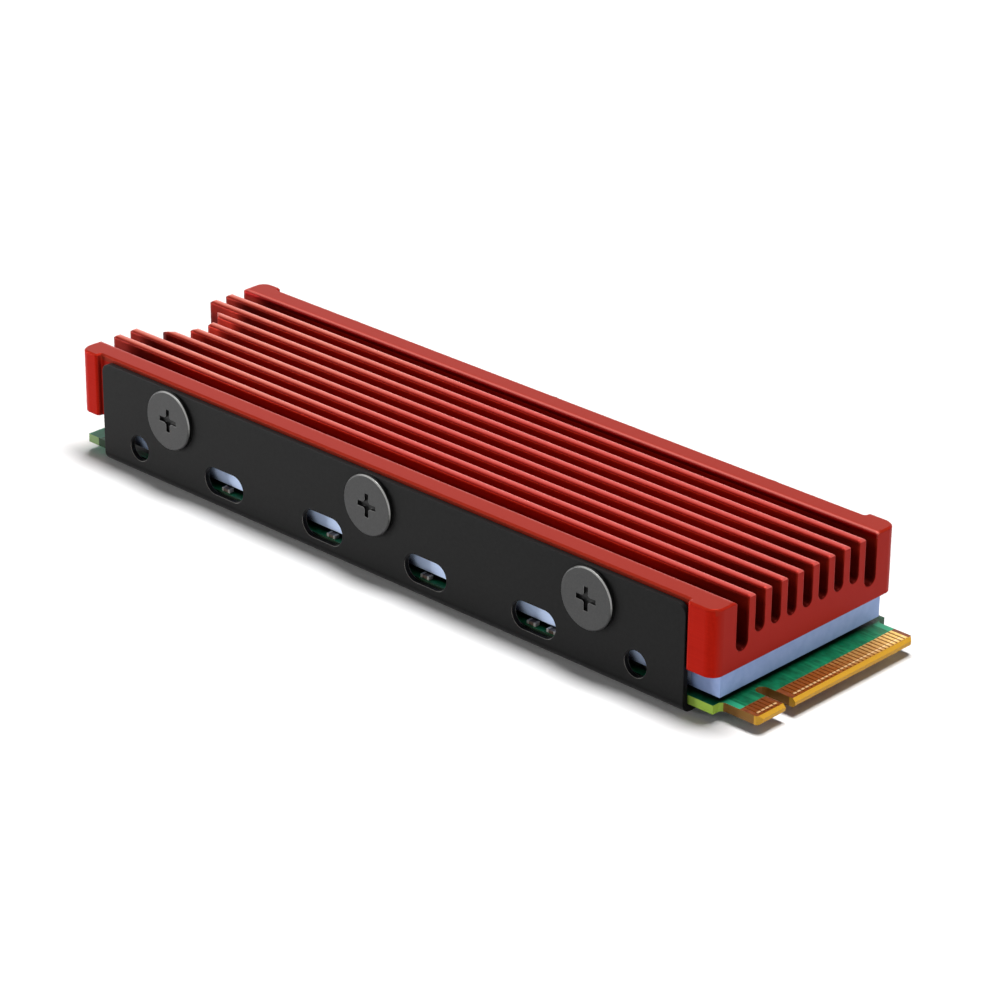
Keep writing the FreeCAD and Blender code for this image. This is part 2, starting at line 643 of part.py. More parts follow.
# Edge contacts: rows of plated fingers, absent at the key notch
def contact_rows(numbers, length, level):
    """Separate fingers at the card standard's places, counted from the wide end of the tongue."""
    half_row = (PINS - 1) / 4 * size("contact_pitch")
    end = size("front_tip") - size("contact_setback")
    fingers = []
    for number in numbers:
        shift = 0.5 if number % 2 == 0 else 0.0
        middle = half_row - ((number - 1) // 2 + shift) * size("contact_pitch")
        corner = FreeCAD.Vector(end - length, middle - size("contact_width") / 2, level)
        fingers.append(Part.makeBox(length, size("contact_width"), size("plating_thick"), corner))
    return Part.makeCompound(fingers)


def group(name, shape):
    piece = doc.addObject("Part::Feature", name)
    piece.Label = name
    piece.Shape = shape
    return piece


upper_numbers = [n for n in range(1, PINS + 1, 2) if n not in KEY_PINS]
lower_numbers = [n for n in range(2, PINS, 2) if n not in KEY_PINS]
group("upper_edge_contacts", contact_rows(upper_numbers, size("contact_length"), size("board_top")))
group("lower_edge_contacts", contact_rows(lower_numbers, size("contact_length_lower"),
                                          size("board_bottom") - size("plating_thick")))

# Plated lands round the half-hole, one on each face of the board
def half_disc(radius, height, level):
    """Half cylinder on the front side of the board's back end."""
    disc = Part.makeCylinder(radius, height, FreeCAD.Vector(), FreeCAD.Vector(0, 0, 1), 180)
    disc.rotate(FreeCAD.Vector(), FreeCAD.Vector(0, 0, 1), -90)
    disc.translate(FreeCAD.Vector(size("board_back"), 0, level))
    return disc


lands = [half_disc(size("mount_land_outer"), size("plating_thick"), level).cut(
    half_disc(size("mount_land_inner"), size("plating_thick"), level))
    for level in (size("board_bottom") - size("plating_thick"), size("board_top"))]
group("mounting_ring", Part.makeCompound(lands))


# Small parts beside the chips
def block_at(along, across, high, middle_x, middle_y):
    corner = FreeCAD.Vector(middle_x - along / 2, middle_y - across / 2, size("board_top"))
    return Part.makeBox(along, across, high, corner)


def terminals(middle_x, middle_y):
    """Metal caps on a capacitor's two ends, a little larger than its block."""
    skin = size("cap_skin")
    shift = (size("cap_length") - size("cap_terminal")) / 2
    return [block_at(size("cap_terminal"), size("cap_width") + 2 * skin, size("cap_height") + skin,
                     middle_x + side * shift, middle_y) for side in (-1, 1)]


edge_row = size("board_width") / 2 - size("cap_edge")
slot_total = int(size("slot_count"))
slot_middles = [size("vent_middle") + (k - (slot_total - 1) / 2) * size("slot_pitch")
                for k in range(slot_total)]
IN_SLOT_STEPS = ((-0.6,), (0.3,), (-0.8,), (-0.95, 1.3))
BETWEEN_STEPS = (3.2, 4.6)
FAR_STEPS = (-1.4, 1.8)
capacitors = []
end_caps = []
for index, slot_middle in enumerate(slot_middles):
    near_steps = IN_SLOT_STEPS[index % len(IN_SLOT_STEPS)] + BETWEEN_STEPS
    for side, steps in ((-1, near_steps), (1, FAR_STEPS)):
        for step in steps:
            middle = (slot_middle + step * size("cap_length"), side * edge_row)
            capacitors.append(block_at(size("cap_length") - 2 * size("cap_terminal"),
                                       size("cap_width"), size("cap_height"), *middle))
            end_caps += terminals(*middle)
group("ceramic_capacitors", Part.makeCompound(capacitors))
group("capacitor_terminals", Part.makeCompound(end_caps))

resistors = []
for side in (-1, 1):
    for index in range(int(size("resistor_count"))):
        resistors.append(block_at(size("resistor_length"), size("resistor_width"),
                                  size("resistor_height"),
                                  size("controller_place") + index * size("resistor_pitch"),
                                  side * (edge_row - size("cap_width") - size("resistor_width"))))
group("chip_resistors", Part.makeCompound(resistors))

coils = [block_at(size("coil_length"), size("coil_width"), size("coil_height"),
                  size("power_place"), size("coil_offset") + index * size("coil_pitch"))
         for index in range(int(size("coil_count")))]
group("power_inductors", Part.makeCompound(coils))
group("crystal", block_at(size("crystal_length"), size("crystal_width"), size("crystal_height"),
                          size("crystal_place"), size("crystal_offset")))

doc.recompute()

# Every object must have built, and every sub-part must be a sound solid, before files are written
failed = [o.Name for o in doc.Objects if "Invalid" in o.State or "Error" in o.State]
if failed:
    raise RuntimeError("objects not built: " + ", ".join(failed))
KINDS = ("PartDesign::Body", "Part::Feature", "Part::Box")
sub_parts = [o for o in doc.Objects if o.TypeId in KINDS]
for piece in sub_parts:
    if piece.Shape.isNull() or not piece.Shape.isValid() or not piece.Shape.Solids:
        raise RuntimeError("no sound solid: " + piece.Label)

os.makedirs("parts", exist_ok=True)
for piece in sub_parts:
    piece.Shape.exportStep("parts/" + piece.Label + ".step")
    print(piece.Label, len(piece.Shape.Solids), round(piece.Shape.Volume, 3))
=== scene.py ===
import math

import bpy
from mathutils import Matrix, Vector

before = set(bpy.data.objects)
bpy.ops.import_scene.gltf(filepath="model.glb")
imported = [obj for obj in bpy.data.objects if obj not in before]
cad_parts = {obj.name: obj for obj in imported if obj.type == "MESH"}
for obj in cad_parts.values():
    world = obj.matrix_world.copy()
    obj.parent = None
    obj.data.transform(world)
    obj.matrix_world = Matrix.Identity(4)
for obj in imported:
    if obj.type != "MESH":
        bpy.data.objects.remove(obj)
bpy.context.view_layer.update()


# Mounting tray: one channel of mild steel sheet, punched, folded and powder coated black, clamped to
# the heat sink by three screws on each side. The coat is satin with a fine orange peel.
# Round the lower bends and underneath, its downward faces are painted paler as painted light, and
# a painted highlight in bare-steel grey runs along the slots' lower edges.
MM = 0.001


def linear(hex_colour):
    """A colour written as sRGB hex, in the linear values that a shader takes."""
    channels = [int(hex_colour[i:i + 2], 16) / 255 for i in (0, 2, 4)]
    return [c / 12.92 if c <= 0.04045 else ((c + 0.055) / 1.055) ** 2.4 for c in channels] + [1.0]


def node(tree, kind, inputs=None, stops=(), **properties):
    """Adds a node. Each input is named or numbered, and takes an output, a hex colour or a value;
    stops are a ramp's places and hex colours."""
    made = tree.nodes.new(kind)
    for name, value in properties.items():
        setattr(made, name, value)
    for key, value in (inputs or {}).items():
        if isinstance(value, bpy.types.NodeSocket):
            tree.links.new(value, made.inputs[key])
        else:
            made.inputs[key].default_value = linear(value) if isinstance(value, str) else value
    for index, (place, colour) in enumerate(stops):
        elements = made.color_ramp.elements
        element = elements[index] if index < 2 else elements.new(place)
        element.position = place
        element.color = linear(colour)
    return made


def new_finish(name, *pieces):
    """An empty material on the named pieces, its geometry node and places on the part in mm."""
    material = bpy.data.materials.new(name)
    material.use_nodes = True
    tree = material.node_tree
    tree.nodes.clear()
    for piece in pieces:
        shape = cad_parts[piece]
        shape.data.materials.clear()
        shape.data.materials.append(material)
    surface = node(tree, "ShaderNodeNewGeometry")
    place = node(tree, "ShaderNodeVectorMath", {0: surface.outputs["Position"], "Scale": 1 / MM},
                 operation="SCALE")
    return tree, surface, place.outputs["Vector"]


PEEL_MM = 0.35
PEEL_DEPTH_MM = 0.006
PUNCHED_EDGE_MM = 0.12
EDGE_HIGHLIGHT_FACING = (0.5, 0.0, 0.86)
SLOT_LEVEL_MM = 2.7
SLOT_REACH_MM = 1.6
TRAY_END_MM = 33.0
tree, surface, place = new_finish("powder_coated_steel", "mounting_tray")
peel = node(tree, "ShaderNodeTexNoise", {"Vector": place, "Scale": 1 / PEEL_MM, "Detail": 2.0})
coat = node(tree, "ShaderNodeValToRGB", {"Fac": peel.outputs["Fac"]},
            stops=((0.35, "0a0a0a"), (0.7, "0f0f0f")))
rounded = node(tree, "ShaderNodeBevel", {"Radius": PUNCHED_EDGE_MM * MM}, samples=8)
turned = node(tree, "ShaderNodeVectorMath",
              {0: rounded.outputs["Normal"], 1: surface.outputs["True Normal"]},
              operation="DOT_PRODUCT")
edge = node(tree, "ShaderNodeValToRGB", {"Fac": turned.outputs["Value"]},
            stops=((0.82, "ffffff"), (0.97, "000000")))
# Painted highlight: edges near the slots that face up and forward are painted bare-steel grey.
upward = node(tree, "ShaderNodeVectorMath", {0: rounded.outputs["Normal"], 1: EDGE_HIGHLIGHT_FACING},
              operation="DOT_PRODUCT")
lifted = node(tree, "ShaderNodeValToRGB", {"Fac": upward.outputs["Value"]},
              stops=((0.1, "000000"), (0.35, "ffffff")))
axes = node(tree, "ShaderNodeSeparateXYZ", {0: place})
at_slots = node(tree, "ShaderNodeMath", {0: axes.outputs["Z"], 1: SLOT_LEVEL_MM, 2: SLOT_REACH_MM},
                operation="COMPARE")
painted_edge_highlight = node(tree, "ShaderNodeMath", {0: edge.outputs["Color"], 1: lifted.outputs["Color"]},
                 operation="MULTIPLY")
painted_slot_highlight = node(tree, "ShaderNodeMath", {0: painted_edge_highlight.outputs[0], 1: at_slots.outputs[0]},
                 operation="MULTIPLY")
before_end = node(tree, "ShaderNodeMath", {0: axes.outputs["X"], 1: TRAY_END_MM},
                  operation="LESS_THAN")
painted_rim_highlight = node(tree, "ShaderNodeMath", {0: painted_slot_highlight.outputs[0], 1: before_end.outputs[0]},
            operation="MULTIPLY")
facing = node(tree, "ShaderNodeSeparateXYZ", {0: surface.outputs["True Normal"]})
# Painted light: faces that turn downwards are painted paler than the coat.
painted_underside_light = node(tree, "ShaderNodeMapRange", {0: facing.outputs["Z"], 1: -0.1, 2: -0.6, 3: 0.0, 4: 1.0})
coat_with_painted_underside = node(tree, "ShaderNodeMix", {0: painted_underside_light.outputs[0], 6: coat.outputs["Color"], 7: "303030"},
                 data_type="RGBA")
colour = node(tree, "ShaderNodeMix", {0: painted_rim_highlight.outputs[0], 6: coat_with_painted_underside.outputs[2], 7: "8c8a86"},
              data_type="RGBA")
relief = node(tree, "ShaderNodeBump", {"Height": peel.outputs["Fac"], "Strength": 0.15,
                                       "Distance": PEEL_DEPTH_MM * MM, "Normal": rounded.outputs["Normal"]})
shader = node(tree, "ShaderNodeBsdfPrincipled", {
    "Base Color": colour.outputs[2], "Roughness": 0.5, "Specular IOR Level": 0.1,
    "Normal": relief.outputs["Normal"]})
node(tree, "ShaderNodeOutputMaterial", {"Surface": shader.outputs["BSDF"]})


# Thermal pads: sheets of soft silicone rubber filled with ceramic powder, pale blue. The thin one
# lies between board and tray, the thick one is pressed between the chips and the heat sink. Filled
# rubber is matt and uneven in tone. Its near side inside the tray is painted paler as painted
# light, and it is painted near black as painted shade where it is covered.
MOTTLE_MM = 0.8
# The powder's real grains, a few hundredths of a millimetre, are drawn coarser to show.
POWDER_MM = 0.2
POWDER_DEPTH_MM = 0.02
COVERED_MM = 1.2
CUT_SIDE_FACING = (0.0, -1.0, 0.0)
tree, surface, place = new_finish("filled_silicone_rubber", "lower_thermal_pad", "upper_thermal_pad")
mottle = node(tree, "ShaderNodeTexNoise", {"Vector": place, "Scale": 1 / MOTTLE_MM, "Detail": 4.0})
powder = node(tree, "ShaderNodeTexNoise", {"Vector": place, "Scale": 1 / POWDER_MM, "Detail": 2.0})
body = node(tree, "ShaderNodeValToRGB", {"Fac": mottle.outputs["Fac"]},
            stops=((0.3, "88a0d2"), (0.7, "94abda")))
# Painted light: the pad's near side inside the tray is painted paler.
side = node(tree, "ShaderNodeVectorMath", {0: surface.outputs["True Normal"], 1: CUT_SIDE_FACING},
            operation="DOT_PRODUCT")
cut_side = node(tree, "ShaderNodeValToRGB", {"Fac": side.outputs["Value"]},
                stops=((0.7, "000000"), (0.95, "ffffff")))
axes = node(tree, "ShaderNodeSeparateXYZ", {0: place})
in_tray = node(tree, "ShaderNodeMath", {0: axes.outputs["X"], 1: TRAY_END_MM},
               operation="LESS_THAN")
painted_side_light = node(tree, "ShaderNodeMath", {0: cut_side.outputs["Color"], 1: in_tray.outputs[0]},
             operation="MULTIPLY")
skin = node(tree, "ShaderNodeMix", {0: painted_side_light.outputs[0], 6: body.outputs["Color"],
                                    7: "c8dcff"}, data_type="RGBA")
# Painted shade: the pad is painted near black where it is covered.
open_to_air = node(tree, "ShaderNodeAmbientOcclusion", {"Distance": COVERED_MM * MM}, samples=12)
painted_cover_shade = node(tree, "ShaderNodeValToRGB", {"Fac": open_to_air.outputs["AO"]},
             stops=((0.42, "ffffff"), (0.7, "000000")))
colour = node(tree, "ShaderNodeMix", {0: painted_cover_shade.outputs["Color"], 6: skin.outputs[2],
                                      7: "0e1424"}, data_type="RGBA")
relief = node(tree, "ShaderNodeBump", {"Height": powder.outputs["Fac"], "Strength": 0.2,
                                       "Distance": POWDER_DEPTH_MM * MM})
shader = node(tree, "ShaderNodeBsdfPrincipled", {
    "Base Color": colour.outputs[2], "Roughness": 0.65, "Normal": relief.outputs["Normal"]})
node(tree, "ShaderNodeOutputMaterial", {"Surface": shader.outputs["BSDF"]})


# Circuit board: glass-fibre laminate with etched copper under green solder mask. The routed sides
# are bare laminate, olive at the shoulders and amber at the tongue, whose tip is bevelled. Mask is
# glossy, paler over the traces half a millimetre apart and at the rims, where the copper stops.
MASK_END_MM = 38.0
BOARD_HALF_MM = 40.1
COPPER_BACK_MM = -38.3
COPPER_FRONT_MM = 36.2
COPPER_SIDE_MM = 9.25
# Where along the board each colour of its routed side begins.
# The near-black green stretch of routed side inside the tray is painted shade.
ROUTED_SIDES = ((-40.1, "76905f"), (-38.6, "15301a"), (33.0, "8cab3e"), (36.15, "7a5420"),
                (39.45, "bc8c24"))
BEVEL_MM = 39.8
HALF_TONGUE_MM = 9.93
SHOULDER_MM = 9.98
TRACE_PITCH_MM = 0.5
TRACE_CONTRAST = 0.06
TRACE_DEPTH_MM = 0.03
# The traces fade in and out this many times in a millimetre along, across and through the board.
FADES_PER_MM = (0.35, 2.6, 0.35)
CLOUD_MM = 0.6
SHELTER_MM = 1.2
BACK_END_MM = -37.2
WEAVE_MM = 0.4
tree, surface, place = new_finish("solder_masked_laminate", "circuit_board")
axes = node(tree, "ShaderNodeSeparateXYZ", {0: place})
cloud = node(tree, "ShaderNodeTexNoise", {"Vector": place, "Scale": 1 / CLOUD_MM, "Detail": 3.0})
mask = node(tree, "ShaderNodeValToRGB", {"Fac": cloud.outputs["Fac"]},
            stops=((0.35, "005a34"), (0.7, "007c4e")))
along = node(tree, "ShaderNodeMapping", {"Vector": place, "Scale": FADES_PER_MM})
fade = node(tree, "ShaderNodeTexNoise", {"Vector": along.outputs["Vector"], "Scale": 1.0,
                                         "Detail": 3.0})
turn = node(tree, "ShaderNodeMath", {0: axes.outputs["Y"], 1: 2 * math.pi / TRACE_PITCH_MM},
            operation="MULTIPLY")
wave = node(tree, "ShaderNodeMath", {0: turn.outputs[0]}, operation="SINE")
trace = node(tree, "ShaderNodeMath", {0: wave.outputs[0], 1: TRACE_CONTRAST, 2: fade.outputs["Fac"]},
             operation="MULTIPLY_ADD")
traced = node(tree, "ShaderNodeValToRGB", {"Fac": trace.outputs[0]},
              stops=((0.5, "000000"), (0.72, "ffffff")))
over_traces = node(tree, "ShaderNodeMix", {0: traced.outputs["Color"], 6: mask.outputs["Color"],
                                           7: "1c8a58"}, data_type="RGBA")
at_back = node(tree, "ShaderNodeMath", {0: axes.outputs["X"], 1: COPPER_BACK_MM},
               operation="LESS_THAN")
at_front = node(tree, "ShaderNodeMath", {0: axes.outputs["X"], 1: COPPER_FRONT_MM},
                operation="GREATER_THAN")
outward = node(tree, "ShaderNodeMath", {0: axes.outputs["Y"]}, operation="ABSOLUTE")
at_side = node(tree, "ShaderNodeMath", {0: outward.outputs[0], 1: COPPER_SIDE_MM},
               operation="GREATER_THAN")
at_corner = node(tree, "ShaderNodeMath", {0: at_side.outputs[0], 1: at_front.outputs[0]},
                 operation="MULTIPLY")
off_copper = node(tree, "ShaderNodeMath", {0: at_back.outputs[0], 1: at_corner.outputs[0]},
                  operation="MAXIMUM")
green = node(tree, "ShaderNodeMix", {0: off_copper.outputs[0], 6: over_traces.outputs[2],
                                     7: "2ea87a"}, data_type="RGBA")
weave = node(tree, "ShaderNodeTexNoise", {"Vector": place, "Scale": 1 / WEAVE_MM, "Detail": 2.0})
fibre = node(tree, "ShaderNodeValToRGB", {"Fac": weave.outputs["Fac"]},
             stops=((0.35, "6e3412"), (0.7, "8a4a1c")))
past_mask = node(tree, "ShaderNodeMath", {0: axes.outputs["X"], 1: MASK_END_MM},
                 operation="GREATER_THAN")
bared = node(tree, "ShaderNodeMix", {0: past_mask.outputs[0], 6: green.outputs[2],
                                     7: fibre.outputs["Color"]}, data_type="RGBA")
past_bevel = node(tree, "ShaderNodeMath", {0: axes.outputs["X"], 1: BEVEL_MM},
                  operation="GREATER_THAN")
face = node(tree, "ShaderNodeMix", {0: past_bevel.outputs[0], 6: bared.outputs[2], 7: "c8952a"},
            data_type="RGBA")
along_side = node(tree, "ShaderNodeMapRange", {0: axes.outputs["X"], 1: -BOARD_HALF_MM,
                                               2: BOARD_HALF_MM})
routed = node(tree, "ShaderNodeValToRGB", {"Fac": along_side.outputs[0]},
              stops=[((x + BOARD_HALF_MM) / (2 * BOARD_HALF_MM), shade) for x, shade in ROUTED_SIDES])
routed.color_ramp.interpolation = "CONSTANT"
beyond_tongue = node(tree, "ShaderNodeMath", {0: axes.outputs["Y"], 1: SHOULDER_MM},
                     operation="GREATER_THAN")
side = node(tree, "ShaderNodeMix", {0: beyond_tongue.outputs[0], 6: routed.outputs["Color"],
                                    7: "1c5034"}, data_type="RGBA")
facing = node(tree, "ShaderNodeSeparateXYZ", {0: surface.outputs["True Normal"]})
level = node(tree, "ShaderNodeMath", {0: facing.outputs["Z"]}, operation="ABSOLUTE")
upright = node(tree, "ShaderNodeMath", {0: level.outputs[0], 1: 0.6}, operation="LESS_THAN")
bare = node(tree, "ShaderNodeMix", {0: upright.outputs[0], 6: face.outputs[2],
                                    7: side.outputs[2]}, data_type="RGBA")
# Painted shade: the board is painted near black where it is covered, except at its back end.
open_to_air = node(tree, "ShaderNodeAmbientOcclusion", {"Distance": SHELTER_MM * MM}, samples=12)
painted_covered_shade = node(tree, "ShaderNodeValToRGB", {"Fac": open_to_air.outputs["AO"]},
               stops=((0.42, "ffffff"), (0.72, "000000")))
past_ear = node(tree, "ShaderNodeMath", {0: axes.outputs["X"], 1: BACK_END_MM},
                operation="GREATER_THAN")
painted_shelter_shade = node(tree, "ShaderNodeMath", {0: painted_covered_shade.outputs["Color"], 1: past_ear.outputs[0]},
               operation="MULTIPLY")
colour = node(tree, "ShaderNodeMix", {0: painted_shelter_shade.outputs[0], 6: bare.outputs[2],
                                      7: "04150e"}, data_type="RGBA")
relief = node(tree, "ShaderNodeBump", {"Height": trace.outputs[0], "Strength": 0.3,
                                       "Distance": TRACE_DEPTH_MM * MM})
shader = node(tree, "ShaderNodeBsdfPrincipled", {
    "Base Color": colour.outputs[2], "Roughness": 0.38, "Specular IOR Level": 0.18,
    "Normal": relief.outputs["Normal"]})
node(tree, "ShaderNodeOutputMaterial", {"Surface": shader.outputs["BSDF"]})


# Edge contacts and mounting lands: copper, etched and plated with hard gold over nickel. The gold is
# satin and uneven in tone. Painted light makes it deep amber at the key notch's end of the row
# and pale at the far end, and a painted highlight runs in a bright line across the fingers.
RUB_MM = 0.25
RUB_DEPTH_MM = 0.01
RUB_SHARE = 0.3
PAINTED_LIGHT_SHARE = 0.7
GLINT_LINE_MM = 39.42
GLINT_LINE_REACH_MM = 0.1
tree, _, place = new_finish("gold_plated_copper", "upper_edge_contacts", "lower_edge_contacts",
                            "mounting_ring")
axes = node(tree, "ShaderNodeSeparateXYZ", {0: place})
rub = node(tree, "ShaderNodeTexNoise", {"Vector": place, "Scale": 1 / RUB_MM, "Detail": 2.0})
# Painted light: the gold pales from one end of the row to the other.
across = node(tree, "ShaderNodeMapRange", {0: axes.outputs["Y"], 1: -HALF_TONGUE_MM,
                                           2: HALF_TONGUE_MM, 4: PAINTED_LIGHT_SHARE})
tone_and_painted_light = node(tree, "ShaderNodeMath", {0: rub.outputs["Fac"], 1: RUB_SHARE, 2: across.outputs[0]},
            operation="MULTIPLY_ADD")
gold = node(tree, "ShaderNodeValToRGB", {"Fac": tone_and_painted_light.outputs[0]},
            stops=((0.15, "8e4810"), (0.5, "aa5c14"), (0.85, "f4cc74")))
# Painted highlight: a bright line across the fingers near their front ends.
painted_glint = node(tree, "ShaderNodeMath", {0: axes.outputs["X"], 1: GLINT_LINE_MM, 2: GLINT_LINE_REACH_MM},
              operation="COMPARE")
colour = node(tree, "ShaderNodeMix", {0: painted_glint.outputs[0], 6: gold.outputs["Color"], 7: "f8d494"},
              data_type="RGBA")
relief = node(tree, "ShaderNodeBump", {"Height": rub.outputs["Fac"], "Strength": 0.15,
                                       "Distance": RUB_DEPTH_MM * MM})
shader = node(tree, "ShaderNodeBsdfPrincipled", {
    "Base Color": colour.outputs[2], "Metallic": 0.7, "Roughness": 0.4, "Specular IOR Level": 0.2,
    "Normal": relief.outputs["Normal"]})
node(tree, "ShaderNodeOutputMaterial", {"Surface": shader.outputs["BSDF"]})


# Chips and chip resistors: black epoxy, transfer moulded over the silicon and soldered to the
# board. The mould's spark-eroded grain makes it matt, and is drawn coarser than it is, to show.
SPARK_GRAIN_MM = 0.1
SPARK_DEPTH_MM = 0.01
tree, _, place = new_finish("moulded_epoxy", "controller_chip", "buffer_memory_chip",
                            "front_flash_chip", "back_flash_chip", "power_chip", "chip_resistors")
grain = node(tree, "ShaderNodeTexNoise", {"Vector": place, "Scale": 1 / SPARK_GRAIN_MM,
                                          "Detail": 2.0})
colour = node(tree, "ShaderNodeValToRGB", {"Fac": grain.outputs["Fac"]},
              stops=((0.3, "191a1b"), (0.7, "232425")))
relief = node(tree, "ShaderNodeBump", {"Height": grain.outputs["Fac"], "Strength": 0.2,
                                       "Distance": SPARK_DEPTH_MM * MM})
shader = node(tree, "ShaderNodeBsdfPrincipled", {
    "Base Color": colour.outputs["Color"], "Roughness": 0.55, "Normal": relief.outputs["Normal"]})
node(tree, "ShaderNodeOutputMaterial", {"Surface": shader.outputs["BSDF"]})


# Capacitors: fired barium titanate blocks, soldered beside the pad and seen through the tray's
# slots. Fired ceramic is brown and slightly glossy; its grain is drawn coarser than it is, to show.
FIRED_MM = 0.15
tree, _, place = new_finish("fired_ceramic", "ceramic_capacitors")
fired = node(tree, "ShaderNodeTexNoise", {"Vector": place, "Scale": 1 / FIRED_MM, "Detail": 2.0})
colour = node(tree, "ShaderNodeValToRGB", {"Fac": fired.outputs["Fac"]},
              stops=((0.3, "33241a"), (0.7, "453224")))
shader = node(tree, "ShaderNodeBsdfPrincipled", {
    "Base Color": colour.outputs["Color"], "Roughness": 0.35})
node(tree, "ShaderNodeOutputMaterial", {"Surface": shader.outputs["BSDF"]})


# Capacitor end caps and the crystal's lid: tin over nickel, dipped or plated. Tin is a bright soft
# grey, clouded by the solder.
SOLDER_MM = 0.2
tree, _, place = new_finish("tinned_nickel", "capacitor_terminals", "crystal")
cloud = node(tree, "ShaderNodeTexNoise", {"Vector": place, "Scale": 1 / SOLDER_MM, "Detail": 2.0})
colour = node(tree, "ShaderNodeValToRGB", {"Fac": cloud.outputs["Fac"]},
              stops=((0.3, "8c8a86"), (0.7, "a4a29e")))
shader = node(tree, "ShaderNodeBsdfPrincipled", {
    "Base Color": colour.outputs["Color"], "Metallic": 0.4, "Roughness": 0.3})
node(tree, "ShaderNodeOutputMaterial", {"Surface": shader.outputs["BSDF"]})


# Power inductors: pressed ferrite powder, soldered beside the power chip under the pad. Ferrite is
# dark grey and matt, and its grain is drawn coarser than it is, to show.
FERRITE_MM = 0.12
tree, _, place = new_finish("pressed_ferrite", "power_inductors")
grain = node(tree, "ShaderNodeTexNoise", {"Vector": place, "Scale": 1 / FERRITE_MM, "Detail": 3.0})
colour = node(tree, "ShaderNodeValToRGB", {"Fac": grain.outputs["Fac"]},
              stops=((0.3, "363636"), (0.7, "484848")))
shader = node(tree, "ShaderNodeBsdfPrincipled", {
    "Base Color": colour.outputs["Color"], "Roughness": 0.6})
node(tree, "ShaderNodeOutputMaterial", {"Surface": shader.outputs["BSDF"]})


# Finned heat sink: extruded 6063 aluminium with milled ends, recesses and screw holes, bead
# blasted and anodised red; the die leaves faint lines along its length. The rounded edges carry
# painted highlights and painted shade, strongest towards the back, and the tops are painted
# paler as painted light. Painted shade darkens the slots towards their floors and open ends, and
# the walls' outer sides above the tray. The milled ends are duller, partly in their own dye and
# partly as a painted sheen.
GRAIN_DEPTH_MM = 0.004
# Blast marks and die lines are finer than this on the real piece, and are drawn coarser to show.
BLAST_MM = 0.12
DIE_LINE_MM = 0.15
DIE_LINE_LENGTH_MM = 20.0
FIN_EDGE_MM = 0.45
OUTER_EDGE_MM = 0.12
TOPS_ABOVE_MM = 9.7
SLOT_FLOOR_MM = 6.5
SINK_TOP_MM = 10.25
SINK_MIDDLE_MM = -1.8
# Painted shade: the slots darken towards their open ends between these distances from the middle.
OPEN_END_MM = (28.0, 37.0)
OPEN_END_SHARE = 0.75
# The painted highlights on the rounded edges turn pinker between these places along the part.
PINKER_MM = (-5.0, -25.0)
PINKER_SHARE = 0.85
FINS_REACH_MM = 7.6
WALL_INSIDE_MM = 9.05
WALL_TOP_MM = 9.65
RECESS_MM = 11.0
RECESS_REACH_MM = 0.2
# A face turned sideways more than this is a flat side and not a rounded edge.
SIDE_FACING = 0.97
tree, surface, place = new_finish("red_anodised_aluminium", "finned_heat_sink")
axes = node(tree, "ShaderNodeSeparateXYZ", {0: place})
across = node(tree, "ShaderNodeMath", {0: axes.outputs["Y"]}, operation="ABSOLUTE")
blast = node(tree, "ShaderNodeTexNoise", {"Vector": place, "Scale": 1 / BLAST_MM, "Detail": 3.0})
along = node(tree, "ShaderNodeMapping", {"Vector": place,
                                         "Scale": (1 / DIE_LINE_LENGTH_MM, 1 / DIE_LINE_MM,
                                                   1 / DIE_LINE_MM)})
lines = node(tree, "ShaderNodeTexNoise", {"Vector": along.outputs["Vector"], "Scale": 1.0,
                                          "Detail": 2.0})
dye = node(tree, "ShaderNodeValToRGB", {"Fac": lines.outputs["Fac"]},
           stops=((0.3, "9e1508"), (0.7, "a8190b")))
# Painted shade: inside the walls the red darkens down the slots towards their floors.
height = node(tree, "ShaderNodeMapRange", {0: axes.outputs["Z"], 1: SLOT_FLOOR_MM, 2: SINK_TOP_MM})
painted_slot_shade = node(tree, "ShaderNodeValToRGB", {"Fac": height.outputs[0]},
                 stops=((0.0, "4c0402"), (0.6, "8c1206"), (0.8, "dc3420")))
forward = node(tree, "ShaderNodeMath", {0: axes.outputs["X"], 1: SINK_MIDDLE_MM},
               operation="SUBTRACT")
off_middle = node(tree, "ShaderNodeMath", {0: forward.outputs[0]}, operation="ABSOLUTE")
open_end = node(tree, "ShaderNodeMapRange", {0: off_middle.outputs[0], 1: OPEN_END_MM[0],
                                             2: OPEN_END_MM[1], 4: OPEN_END_SHARE})
painted_deep_shade = node(tree, "ShaderNodeMix", {0: open_end.outputs[0], 6: painted_slot_shade.outputs["Color"],
                                    7: "4c0a06"}, data_type="RGBA")
inside = node(tree, "ShaderNodeMath", {0: across.outputs[0], 1: WALL_INSIDE_MM},
              operation="LESS_THAN")
sides = node(tree, "ShaderNodeMix", {0: inside.outputs[0], 6: dye.outputs["Color"],
                                     7: painted_deep_shade.outputs[2]}, data_type="RGBA")
facing = node(tree, "ShaderNodeSeparateXYZ", {0: surface.outputs["True Normal"]})
upper = node(tree, "ShaderNodeMath", {0: axes.outputs["Z"], 1: TOPS_ABOVE_MM},
             operation="GREATER_THAN")
